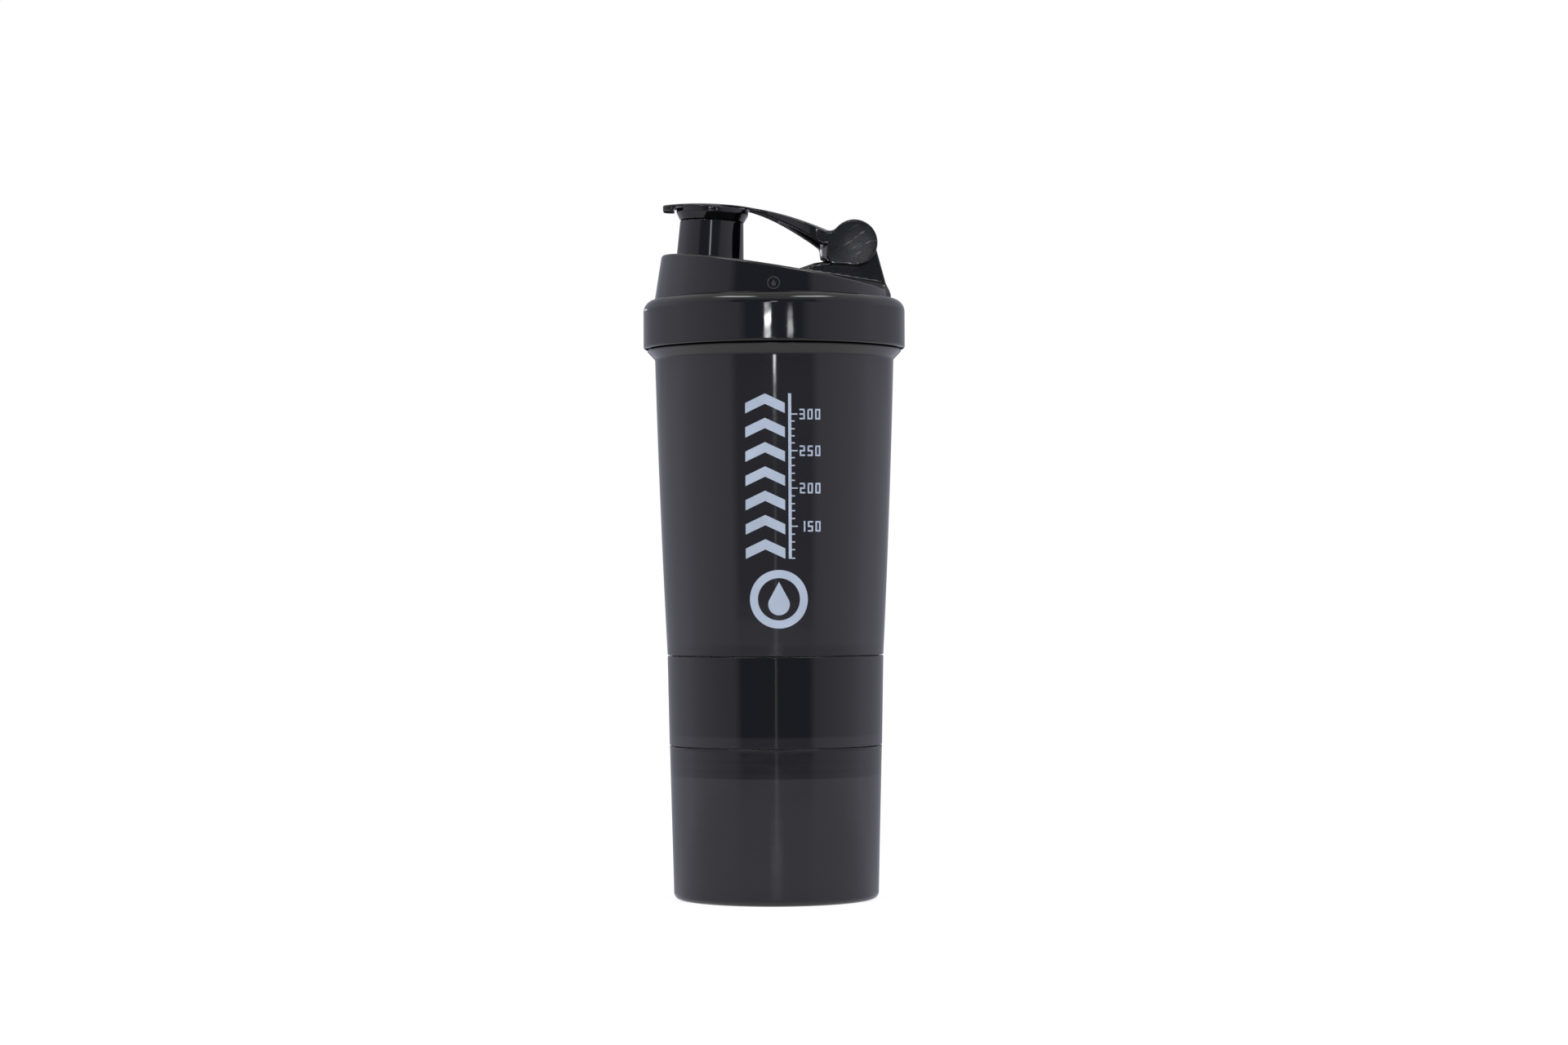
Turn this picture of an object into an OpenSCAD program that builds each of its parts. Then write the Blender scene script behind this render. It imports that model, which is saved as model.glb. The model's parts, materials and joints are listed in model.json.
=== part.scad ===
// Protein shaker bottle: a tapered cup with a screw lid, a flip cap on a hinge, a mixing grid, and two
// storage compartments that screw on underneath. Millimetres. +Z is up and the origin is the centre of
// the foot. The spout is on the -X side and the flip cap's hinge is on the +X side.

/* [Stack heights] */
// Height of the lower compartment, from the foot to its seam
lower_h = 50.9; // [46:0.1:60]
// Height of the middle compartment, from seam to seam
middle_h = 29.7; // [28:0.1:36]
// Height of the cup, from its lower seam to the bottom edge of the lid
cup_h = 101.1; // [90:0.1:120]
// Height of the lid's screw collar
collar_h = 16.3; // [16.2:0.1:18]

/* [Diameters] */
// Outside diameter at the foot
foot_d = 67.6; // [66:0.1:69]
// Outside diameter at the seam between the two compartments
lower_seam_d = 70.3; // [69.5:0.1:71]
// Outside diameter at the seam between the middle compartment and the cup
upper_seam_d = 71.4; // [71:0.1:72.5]
// Outside diameter at the top of the cup's tapered wall
cup_top_d = 79.0; // [78:0.1:80]
// Outside diameter of the lid's screw collar
collar_d = 86.6; // [86.2:0.1:90]

/* [Walls] */
// Wall thickness of the compartments
wall = 1.6; // [1.4:0.1:1.8]
// Wall thickness of the cup
cup_wall = 1.9; // [1.7:0.1:2.1]
// Height of the recess under the foot
foot_recess = 4.5; // [2:0.5:5]
// Gap left at each seam
seam_gap = 0.3; // [0.2:0.05:0.4]

/* [Screw threads] */
// Rise of the lid for one turn
lid_lead = 5; // [5:0.1:5.5]
// Rise of a compartment for one turn
boss_lead = 3.2; // [3.2:0.1:3.5]
// Height of the threaded boss under the cup and under the middle compartment
boss_h = 9.6; // [9.4:0.1:10]

/* [Lid and spout] */
// Slope of the lid's top, down towards the hinge
top_tilt = 9.3; // [8:0.1:10]
// Height of the lid's top over the collar, on the centre line
top_rise = 8.8; // [8.5:0.1:9]
// Draft of the lid's dome
dome_draft = 9; // [7:0.5:10]
// Distance that the dome sits off the centre line, towards the spout
dome_shift = 0.65; // [0:0.05:0.8]
// Distance from the centre line to the spout
spout_reach = 20.5; // [20:0.1:21]
// Radius of the spout just under the flip cap
spout_r = 10.5; // [10.2:0.1:10.6]
// Lean of the spout towards the hinge, which lets the cap swing off it
spout_lean = 3; // [3:0.1:3.4]

/* [Flip cap and hinge] */
// Distance from the centre line to the hinge axis
hinge_reach = 26.5; // [26:0.1:27]
// Height of the hinge axis over the collar
hinge_rise = 18; // [17.8:0.1:18.2]
// Radius of the round cheeks at the hinge
cheek_r = 7.65; // [7.4:0.05:7.8]
// Width over both cheeks
hinge_w = 24; // [22:0.5:26]
// Width of the lid's hinge lug
lug_w = 14.4; // [13:0.2:15]
// Diameter of the hinge pin
pin_d = 3.2; // [2.8:0.1:3.6]

/* [Inside] */
// Spacing of the mixing grid's bars
grid_pitch = 4.6; // [4.2:0.1:6]
// Number of pockets in the pill tray
tray_pockets = 4; // [3:1:6]
// Height of the pill tray's wall
tray_h = 14; // [10:1:15]

/* [Hidden] */
$fn = 96;

// Heights of the seams, which everything else hangs on.
lower_seam = lower_h;
upper_seam = lower_seam + middle_h;
collar_z = upper_seam + cup_h;
collar_top = collar_z + collar_h;

foot_r = foot_d / 2;
lower_seam_r = lower_seam_d / 2;
upper_seam_r = upper_seam_d / 2;
cup_top_r = cup_top_d / 2;
collar_r = collar_d / 2;
floor_t = 2.3;

// The cup's neck inside the lid's collar.
neck_r = cup_top_r - 0.5;
neck_bore_r = neck_r - 1.6;
neck_top = collar_z + 12.9;
flange_r = collar_r - 1;
flange_h = 3.5;
thread_play = 0.4;
lid_thread_h = 1.5;
collar_bore_r = neck_r + lid_thread_h + thread_play;
ceiling_z = neck_top + 1.7;

// The threaded bosses inside the compartments' mouths.
boss_play = 0.3;
boss_thread_h = 0.9;
boss_wall = 1.9;
function boss_root(mouth_r) = mouth_r - boss_thread_h - boss_play;

// The lid's dome.
dome_r = neck_r - 0.1;
dome_wall = 2;
skirt_r = neck_bore_r - 0.3;
skirt_wall = 1;
skirt_h = 6.4;
top_z = collar_top + top_rise;

// The spout's own frame: its origin is where the spout meets the flip cap.
parting_z = collar_top + 26.1;
spout_neck_h = 2.8;
spout_bore_r = spout_r - 2.6;

hinge_z = collar_top + hinge_rise;
lug_r = cheek_r - 0.15;
slot_w = lug_w + 0.6;
slot_r = lug_r + 0.65;
pin_r = pin_d / 2;
pin_len = hinge_w - 2.4;
pin_play = 0.06;

cap_r = spout_r + 1.4;
crown_x = -25;
crown_z = collar_top + 32.05;
crown_arc_r = 106;
crown_cross_r = 60;
arm_waist = 4;
keel_w = 6;
nose_x = hinge_reach - 11.4;
nose_r = 25.5;

// Points of an arc of radius r about [cx, cz], from angle a0 to a1.
function arc(cx, cz, r, a0, a1, n = 8) =
    [for (i = [0:n]) let (a = a0 + (a1 - a0) * i / n) [cx + r * cos(a), cz + r * sin(a)]];

// Points of the cup's slightly bulging wall, set in by t, for the shares u0 to u1 of its height.
function cup_wall_points(t, u0, u1, n = 12) =
    [for (i = [0:n]) let (u = u0 + (u1 - u0) * i / n)
        [upper_seam_r - t + (cup_top_r - upper_seam_r) * u + 1.2 * u * (1 - u),
         upper_seam + (collar_z - flange_h - upper_seam) * u]];

// A helical ridge with a trapezoid section on a wall of radius r, standing out to radius crest, or into a
// bore if crest is less than r. It climbs lead for each turn and passes height z at angle 0. Both ends
// fade into the wall.
module thread(r, crest, z, lead, from, turns, foot_w, crest_w) {
    steps = ceil(turns * 60);
    side = crest > r ? 1 : -1;
    run_out = 8;
    rings = [for (i = [0:steps]) let (
            a = from + 360 * turns * i / steps,
            fade = max(0.06, min(1, i / run_out, (steps - i) / run_out)),
            tip = r + (crest - r) * fade,
            root = r - side * 0.3,
            mid = z + lead * a / 360)
        each [for (p = [[root, -foot_w], [tip, -crest_w], [tip, crest_w], [root, foot_w]])
            [p[0] * cos(a), p[0] * sin(a), mid + p[1] / 2]]];
    sides = [for (i = [0:steps - 1], k = [0:3]) let (
            a = 4 * i + k, b = 4 * i + (k + 1) % 4)
        each [[a, b, b + 4], [a, b + 4, a + 4]]];
    last = 4 * steps;
    ends = [[0, 3, 2], [0, 2, 1], [last, last + 1, last + 2], [last, last + 2, last + 3]];
    faces = concat(sides, ends);
    polyhedron(rings, side > 0 ? faces : [for (f = faces) [f[2], f[1], f[0]]]);
}

// Thread in the mouth of a compartment whose seam is at height seam.
module mouth_thread(mouth_r, seam)
    thread(mouth_r, mouth_r - boss_thread_h, seam - 7.3, boss_lead, 20, 1.3, 1.3, 0.6);

// Thread on a boss that hangs from height seam.
module boss_thread(mouth_r, seam)
    thread(boss_root(mouth_r), boss_root(mouth_r) + boss_thread_h, seam - 8.6, boss_lead, 0, 1.6, 1.3, 0.6);

// Flat ring with rounded outer corners, used for every seal.
module ring(inner, outer, z, h)
    rotate_extrude() polygon(concat([[inner, z + h], [inner, z]],
        arc(outer - 0.3, z + 0.3, 0.3, -90, 0, 4), arc(outer - 0.3, z + h - 0.3, 0.3, 0, 90, 4)));

lower_mouth_r = lower_seam_r - wall;
upper_mouth_r = upper_seam_r - wall;

module lower_compartment() color("#2b2a2c") union() {
    rotate_extrude() polygon(concat(
        [[0, foot_recess], [foot_r - 5, foot_recess], [foot_r - 4, 0.4], [foot_r - 3.6, 0]],
        arc(foot_r - 1.5, 1.5, 1.5, -90, 0),
        [[lower_seam_r - 0.4, lower_seam - seam_gap - 0.2], [lower_seam_r - 0.6, lower_seam - seam_gap],
         [lower_mouth_r + 0.3, lower_seam - seam_gap], [lower_mouth_r, lower_seam - seam_gap - 0.3],
         [lower_mouth_r, lower_seam - boss_h]],
        arc(foot_r - wall - 3, foot_recess + floor_t + 3, 3, 0, -90),
        [[0, foot_recess + floor_t]]));
    mouth_thread(lower_mouth_r, lower_seam);
}

module middle_compartment() color("#2b2a2c") union() {
    root = boss_root(lower_mouth_r);
    rotate_extrude() polygon(concat(
        [[0, lower_seam], [root - boss_wall, lower_seam], [root - boss_wall, lower_seam - boss_h],
         [root - 0.4, lower_seam - boss_h], [root, lower_seam - boss_h + 0.4], [root, lower_seam],
         [lower_seam_r - 0.2, lower_seam], [lower_seam_r, lower_seam + 0.2],
         [upper_seam_r, upper_seam - seam_gap - 0.2], [upper_seam_r - 0.2, upper_seam - seam_gap],
         [upper_mouth_r + 0.3, upper_seam - seam_gap], [upper_mouth_r, upper_seam - seam_gap - 0.3],
         [upper_mouth_r, upper_seam - boss_h]],
        arc(lower_seam_r - wall - 2.5, lower_seam + floor_t + 2.5, 2.5, 0, -90),
        [[0, lower_seam + floor_t]]));
    boss_thread(lower_mouth_r, lower_seam);
    mouth_thread(upper_mouth_r, upper_seam);
}

module shaker_cup() color("#2b2a2c") union() {
    root = boss_root(upper_mouth_r);
    flange_z = collar_z - 0.3;
    rotate_extrude() polygon(concat(
        [[0, upper_seam], [root - boss_wall, upper_seam], [root - boss_wall, upper_seam - boss_h],
         [root - 0.4, upper_seam - boss_h], [root, upper_seam - boss_h + 0.4], [root, upper_seam],
         [upper_seam_r - 0.2, upper_seam]],
        cup_wall_points(0, 0.004, 1),
        [[flange_r - 0.2, flange_z - 0.4], [flange_r - 0.2, flange_z], [neck_r, flange_z],
         [neck_r, neck_top - 0.5], [neck_r - 0.5, neck_top], [neck_bore_r + 0.4, neck_top],
         [neck_bore_r, neck_top - 0.4]],
        cup_wall_points(cup_wall, 1, 0.07),
        arc(upper_seam_r - cup_wall - 3, upper_seam + floor_t + 3, 3, -10, -90),
        [[0, upper_seam + floor_t]]));
    boss_thread(upper_mouth_r, upper_seam);
    thread(neck_r, neck_r + lid_thread_h, collar_z + 4, lid_lead, 0, 1.25, 2.2, 1);
}

module lower_seal() color("#8d8f92")
    ring(boss_root(lower_mouth_r) + 0.1, lower_mouth_r - 0.1, lower_seam - 1.5, 1.4);

module upper_seal() color("#8d8f92")
    ring(boss_root(upper_mouth_r) + 0.1, upper_mouth_r - 0.1, upper_seam - 1.5, 1.4);

module lid_seal() color("#8d8f92")
    ring(skirt_r + 0.1, collar_bore_r - 0.8, neck_top + 0.1, ceiling_z - neck_top - 0.2);

// Drop-in tray: a dish with radial dividers and a knob to lift it by.
module pill_tray() color("#3a3a3c") {
    r = boss_root(lower_mouth_r) - boss_wall - 0.6;
    z = lower_seam + floor_t + 0.2;
    union() {
        rotate_extrude() polygon(concat([[0, z]], arc(r - 2, z + 2, 2, -90, 0),
            [[r, z + tray_h], [r - 1.2, z + tray_h]], arc(r - 2.2, z + 2.2, 1, 0, -90, 4), [[0, z + 1.2]]));
        for (i = [0:tray_pockets - 1])
            rotate([0, 0, 360 * i / tray_pockets + 45])
                translate([0, -0.6, z + 0.6]) cube([r - 0.6, 1.2, tray_h - 2]);
        rotate_extrude() polygon(concat([[0, z + 0.6], [3, z + 0.6], [3, z + tray_h]],
            arc(3.4, z + tray_h + 1.1, 1.1, -90, 90, 6), [[0, z + tray_h + 2.2]]));
    }
}

// Half-space under the lid's sloping top, lowered by drop.
module under_top(drop)
    translate([0, 0, top_z]) rotate([0, top_tilt, 0]) translate([-60, -60, -60 - drop]) cube([120, 120, 60]);

// Side outline of the hinge lug, in X and Z: a round head, a drafted back, and a low ramp in front.
function lug_points() = concat(
    arc(hinge_reach, hinge_z, lug_r, 225, -12, 24),
    [[collar_r - 5.3, collar_top + 1], [3, collar_top + 1], [3, collar_top + 8.2],
     [hinge_reach - 13.1, collar_top + 11.8], [hinge_reach - 8.4, hinge_z - 5.6]]);

module lug() rotate([90, 0, 0]) linear_extrude(lug_w, center = true) polygon(lug_points());

// Flared foot that carries the lug's sides into the sloping top.
module lug_foot() intersection() {
    translate([0, 0, top_z]) rotate([0, top_tilt, 0]) translate([hinge_reach - 6.5, 0, -0.5])
        rotate([90, 0, 90]) linear_extrude(20) polygon(concat(
            [[-lug_w / 2 - 3, 0], [lug_w / 2 + 3, 0]],
            arc(lug_w / 2 + 3, 3.5, 3, -90, -180, 5),
            [for (p = arc(lug_w / 2 + 3, 3.5, 3, -180, -90, 5)) [-p[0], p[1]]]));
    translate([-dome_shift, 0, 0]) cylinder(h = hinge_z, r = dome_r - 1.2);
}

module spout_frame()
    translate([-spout_reach, 0, parting_z]) rotate([0, spout_lean, 0]) children();

module lid() color("#1c1c1e") {
    cone_h = 17;
    cone_top_r = dome_r - cone_h * tan(dome_draft);
    union() {
        difference() {
            union() {
                rotate_extrude() polygon(concat(
                    [[0, collar_z]], arc(collar_r - 0.9, collar_z + 0.9, 0.9, -90, 0),
                    arc(collar_r - 4, collar_top - 4, 4, 0, 90),
                    [[0, collar_top]]));
                intersection() {
                    translate([-dome_shift, 0, collar_top - 0.1])
                        cylinder(h = cone_h, r1 = dome_r, r2 = cone_top_r);
                    under_top(0);
                }
                spout_frame() {
                    translate([0, 0, -16])
                        cylinder(h = 16, r1 = spout_r + 16 * tan(spout_lean), r2 = spout_r);
                    translate([0, 0, -1])
                        cylinder(h = 1 + spout_neck_h, r1 = spout_r - 1, r2 = spout_r - 1.6);
                }
                lug();
                lug_foot();
            }
            // Room for the cup's neck, with the inner skirt left standing.
            difference() {
                translate([0, 0, collar_z - 1]) cylinder(h = ceiling_z - collar_z + 1, r = collar_bore_r);
                translate([0, 0, ceiling_z - skirt_h]) cylinder(h = skirt_h + 1, r = skirt_r);
            }
            // Hollow of the dome.
            translate([0, 0, collar_z - 2]) cylinder(h = ceiling_z + 4 - collar_z, r = skirt_r - skirt_wall);
            intersection() {
                translate([-dome_shift, 0, ceiling_z + 1.6])
                    cylinder(h = cone_h, r1 = dome_r - dome_wall - 0.2,
                        r2 = dome_r - dome_wall - 0.2 - cone_h * tan(dome_draft));
                under_top(dome_wall);
            }
            spout_frame() translate([0, 0, -18])
                cylinder(h = 18 + spout_neck_h + 1, r1 = spout_bore_r + 0.9, r2 = spout_bore_r);
            translate([hinge_reach, 0, hinge_z]) rotate([90, 0, 0])
                cylinder(h = lug_w + 2, r = pin_r + pin_play, center = true);
        }
        thread(collar_bore_r, collar_bore_r - lid_thread_h, collar_z + 2.1, lid_lead, 60, 1.2, 2.2, 1);
    }
}

// Shallow basket with a square grid in its floor. It clips inside the lid's inner skirt.
module strainer() color("#262628") {
    rim_r = skirt_r - skirt_wall - 0.2;
    floor_r = rim_r - 3.4;
    z = collar_z - 1.8;
    rim_z = ceiling_z - 3.4;
    bars = floor((floor_r - 1) / grid_pitch);
    union() {
        rotate_extrude() polygon([
            [floor_r - 1.4, z], [floor_r, z], [rim_r - 1.4, rim_z - 3], [rim_r, rim_z - 2.4],
            [rim_r, rim_z - 0.3], [rim_r - 0.3, rim_z], [rim_r - 1.5, rim_z], [rim_r - 2.8, rim_z - 3],
            [floor_r - 1.4, z + 1.8]]);
        intersection() {
            translate([0, 0, z]) cylinder(h = 1.6, r = floor_r - 0.7);
            for (turn = [0, 90], i = [-bars:bars])
                rotate([0, 0, turn]) translate([i * grid_pitch - 0.55, -floor_r, z])
                    cube([1.1, 2 * floor_r, 1.6]);
        }
    }
}

module hinge_pin() color("#9a9ca0")
    translate([hinge_reach, 0, hinge_z]) rotate([90, 0, 0]) cylinder(h = pin_len, r = pin_r, center = true);

// Height of the flip cap's crown on the centre line, and of the arm's flat underside, at x.
function crown(x) = crown_z - crown_arc_r + sqrt(pow(crown_arc_r, 2) - pow(x - crown_x, 2));
function belly(x) = let (d = x + 8.5) crown_z - 2.2 - 0.3 * d - 0.0085 * d * d;

// Height of the underside of the keel, which deepens towards the hinge.
function keel(x) = belly(x) - 0.087 * (x - 2);

// Half-width of the arm, from its narrow waist at the cap to the full width at the hinge.
function arm_half_width(x) = let (u = max(0, min(1, (x + 5) / 19)))
    arm_waist + (hinge_w / 2 - arm_waist) * (3 - 2 * u) * u * u;

tab_x = -spout_reach - 16.3;

// Side outline of the flip cap's plate and arm, in X and Z.
function arm_points() = let (web_x = hinge_reach - 10.2) concat(
    [[tab_x, crown_z], [tab_x, crown_z - 2.5], [tab_x + 3.8, crown_z - 2.5], [tab_x + 3.8, crown_z - 1.3]],
    [for (i = [0:12]) let (x = -9.5 + (web_x + 9.5) * i / 12) [x, belly(x)]],
    [[hinge_reach - 7.9, hinge_z + 0.6], [hinge_reach, hinge_z + 0.6], [hinge_reach, crown_z]]);

// Plan outline: the round cap, its thumb tab, and the arm that widens towards the hinge.
module arm_plan() {
    translate([-spout_reach, 0]) circle(r = cap_r);
    hull() for (x = [tab_x + 3, -spout_reach], y = [-3, 3]) translate([x, y]) circle(r = 3, $fn = 32);
    polygon(concat(
        [for (i = [0:16]) let (x = -14 + (hinge_reach + 14) * i / 16) [x, -arm_half_width(x)]],
        [for (i = [16:-1:0]) let (x = -14 + (hinge_reach + 14) * i / 16) [x, arm_half_width(x)]]));
}

// Everything under the crown, which is arched lengthways and slightly domed across.
module under_crown() translate([0, 0, crown_z - crown_cross_r]) rotate([0, 90, 0])
    rotate_extrude() polygon(concat([[0, hinge_reach], [0, tab_x - 1]],
        [for (i = [0:24]) let (x = tab_x - 1 + (hinge_reach + 1 - tab_x) * i / 24)
            [crown(x) - crown_z + crown_cross_r, x]]));

// Keel that stiffens the arm from below.
module arm_keel() rotate([90, 0, 0]) linear_extrude(keel_w, center = true) polygon(concat(
    [for (i = [0:8]) let (x = 2 + (nose_x - 2) * i / 8) [x, keel(x)]],
    [[nose_x + 2, keel(nose_x)], [nose_x + 2, hinge_z + 2], [2, belly(2) + 1]]));

// Rounded web in front of the lug, which joins the arm, its keel and both cheeks.
module hinge_web() intersection() {
    rotate([90, 0, 0]) linear_extrude(hinge_w, center = true) polygon([
        [nose_x - 1, hinge_z + 2], [nose_x + 0.3, hinge_z - 4.5], [hinge_reach - 5, hinge_z - 4.5],
        [hinge_reach - 5, hinge_z + 2]]);
    translate([nose_x + nose_r, 0, hinge_z - 5]) cylinder(h = 8, r = nose_r);
}

// Side outline of a hinge cheek: a disc with a corner in front, which covers the end of the web.
module cheek_outline() translate([hinge_reach, hinge_z]) {
    circle(r = cheek_r);
    translate([-7.2, -6.1]) circle(r = 1);
    polygon([[-8.2, -6.1], [-cheek_r, 0], [0, 0], [0, -cheek_r], [-7.2, -7.1]]);
}

module flip_cap() color("#1c1c1e") difference() {
    union() {
        intersection() {
            union() {
                intersection() {
                    rotate([90, 0, 0]) linear_extrude(hinge_w, center = true) polygon(arm_points());
                    translate([0, 0, hinge_z - 10]) linear_extrude(40) arm_plan();
                }
                spout_frame() rotate_extrude()
                    polygon([[0, 0.15], [spout_r + 0.1, 0.15], [cap_r, 2.6], [cap_r, 4.5], [0, 4.5]]);
            }
            under_crown();
        }
        arm_keel();
        hinge_web();
        for (side = [-1, 1])
            translate([0, side * (hinge_w + slot_w) / 4, 0]) rotate([90, 0, 0])
                linear_extrude((hinge_w - slot_w) / 2, center = true) cheek_outline();
    }
    spout_frame() translate([0, 0, -1]) cylinder(h = 4.6, r = spout_r - 0.5);
    translate([hinge_reach, 0, hinge_z]) rotate([90, 0, 0]) {
        cylinder(h = slot_w, r = slot_r, center = true);
        cylinder(h = pin_len, r = pin_r, center = true);
    }
}

// Soft plug under the flip cap that closes the spout.
module spout_seal() color("#8d8f92") spout_frame()
    rotate_extrude() polygon([[0, 1], [spout_bore_r - 0.9, 1], [spout_bore_r - 0.4, 2.95],
        [spout_r - 0.8, 2.95], [spout_r - 0.8, 3.6], [0, 3.6]]);

lower_compartment();
lower_seal();
middle_compartment();
pill_tray();
upper_seal();
shaker_cup();
lid_seal();
lid();
strainer();
hinge_pin();
flip_cap();
spout_seal();
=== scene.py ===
"""Looks of a protein shaker bottle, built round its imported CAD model.

Outlines and shapes are in millimetres, in the CAD's own frame: +Z is up, the origin is the centre of the
foot, the spout is on the -X side and the hinge on the +X side. Meshes are scaled to metres when made.
"""

import json
import math

import bmesh
import bpy
import numpy as np
from mathutils import Matrix, Vector


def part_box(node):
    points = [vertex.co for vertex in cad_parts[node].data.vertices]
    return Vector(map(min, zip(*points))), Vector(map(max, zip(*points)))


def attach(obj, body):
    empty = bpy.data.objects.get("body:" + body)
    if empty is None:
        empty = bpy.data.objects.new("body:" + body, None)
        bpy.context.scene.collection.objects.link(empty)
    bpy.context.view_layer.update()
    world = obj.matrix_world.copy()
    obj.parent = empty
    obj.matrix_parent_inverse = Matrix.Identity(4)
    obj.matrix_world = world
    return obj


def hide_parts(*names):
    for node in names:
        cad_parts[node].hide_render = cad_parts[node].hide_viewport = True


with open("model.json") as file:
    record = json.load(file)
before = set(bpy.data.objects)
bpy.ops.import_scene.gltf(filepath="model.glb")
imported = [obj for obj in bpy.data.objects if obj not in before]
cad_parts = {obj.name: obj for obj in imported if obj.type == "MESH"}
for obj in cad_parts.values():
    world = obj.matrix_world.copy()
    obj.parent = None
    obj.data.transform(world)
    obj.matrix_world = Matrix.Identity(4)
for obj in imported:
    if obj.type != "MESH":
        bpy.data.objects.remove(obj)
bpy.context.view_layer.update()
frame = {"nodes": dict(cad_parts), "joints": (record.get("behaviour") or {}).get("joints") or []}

MM = 0.001


def top(node):
    """Height of a CAD node's highest point, in millimetres."""
    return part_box(node)[1].z / MM


def bottom(node):
    """Height of a CAD node's lowest point, in millimetres."""
    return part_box(node)[0].z / MM


def half_width(node):
    """Largest Y of a CAD node, in millimetres."""
    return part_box(node)[1].y / MM


# Heights and radii that the CAD fixes.
SEAM_GAP = 0.3
LOWER_SEAM = top("lower_compartment") + SEAM_GAP
UPPER_SEAM = top("middle_compartment") + SEAM_GAP
COLLAR_Z = bottom("lid")
NECK_TOP = top("shaker_cup")
COLLAR_R = half_width("lid")
COLLAR_TOP = COLLAR_Z + 16.3
UPPER_SEAM_R = half_width("middle_compartment")
LOWER_SEAM_R = half_width("lower_compartment") + 0.4
FOOT_R = 33.8
CUP_TOP_R = 39.5
FLANGE_R = half_width("shaker_cup")
FLANGE_H = 3.5
NECK_R = CUP_TOP_R - 0.5
NECK_BORE_R = NECK_R - 1.6

WALL = 1.6
CUP_WALL = 1.9
FLOOR = 2.3
FOOT_RECESS = 4.5

# The threaded bosses under the cup and the middle compartment, and the leads of the threads.
BOSS_H = 9.6
BOSS_WALL = 1.9
BOSS_LEAD = 3.2
LID_LEAD = 5.0


# ---------------------------------------------------------------------------------------------------
# Turned parts


def arc(cx, cz, radius, start, end, count=8):
    """Points of an arc about (cx, cz), between two angles in degrees."""
    angles = np.radians(np.linspace(start, end, count + 1))
    return [(cx + radius * math.cos(a), cz + radius * math.sin(a)) for a in angles]


def rounded(corners):
    """Outline through corners (r, z) or (r, z, fillet radius); each fillet becomes a short arc."""
    outline = []
    for i, corner in enumerate(corners):
        here = np.array(corner[:2], float)
        fillet = corner[2] if len(corner) > 2 else 0
        if not fillet:
            outline.append(tuple(here))
            continue
        before = np.array(corners[i - 1][:2], float) - here
        after = np.array(corners[(i + 1) % len(corners)][:2], float) - here
        before /= np.linalg.norm(before)
        after /= np.linalg.norm(after)
        half = math.acos(np.clip(before @ after, -1, 1)) / 2
        centre = here + (before + after) / np.linalg.norm(before + after) * fillet / math.sin(half)
        first = here + before * fillet / math.tan(half) - centre
        last = here + after * fillet / math.tan(half) - centre
        start = math.degrees(math.atan2(first[1], first[0]))
        sweep = math.degrees(math.atan2(last[1], last[0])) - start
        sweep = (sweep + 180) % 360 - 180
        outline += arc(centre[0], centre[1], fillet, start, start + sweep, 6)
    return outline


def rows(r0, z0, r1, z1, pitch=0.25):
    """Closely spaced points of a straight wall, fine enough to carry a thread."""
    count = max(1, round(math.hypot(r1 - r0, z1 - z0) / pitch))
    return [(r0 + (r1 - r0) * i / count, z0 + (z1 - z0) * i / count) for i in range(count + 1)]


class Thread:
    """A helical ridge on a wall. It stands out to crest, or into a bore if crest is less than wall.

    wall and crest are radii, z is its height at angle 0, lead its rise per turn, start its first angle in
    degrees, and the widths are those of the ridge at its root and at its crest.
    """

    FADE = 48
    MOST_TURNS = 4

    def __init__(self, wall, crest, z, lead, start, turns, root_width, crest_width):
        self.wall, self.height, self.z, self.lead = wall, crest - wall, z, lead
        self.start, self.end = start, start + 360 * turns
        self.root, self.crest = root_width / 2, crest_width / 2

    def lift(self, angle, r, z):
        """How far the wall moves at each point (angle in degrees)."""
        share = np.zeros(np.broadcast(angle, z).shape)
        for turn in range(-1, self.MOST_TURNS):
            along = angle + 360 * turn
            off = np.abs(z - self.z - self.lead * along / 360)
            ridge = np.clip((self.root - off) / (self.root - self.crest), 0, 1)
            ends = np.minimum(along - self.start, self.end - along) / self.FADE
            share = np.maximum(share, ridge * np.clip(ends, 0, 1))
        return np.where(np.abs(r - self.wall) < 0.02, self.height * share, 0)


def new_object(name, points, faces):
    """A smooth-shaded mesh object from points in millimetres."""
    mesh = bpy.data.meshes.new(name)
    mesh.from_pydata((np.asarray(points) * MM).tolist(), [], faces)
    mesh.shade_smooth()
    made = bpy.data.objects.new(name, mesh)
    bpy.context.scene.collection.objects.link(made)
    return made


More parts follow.
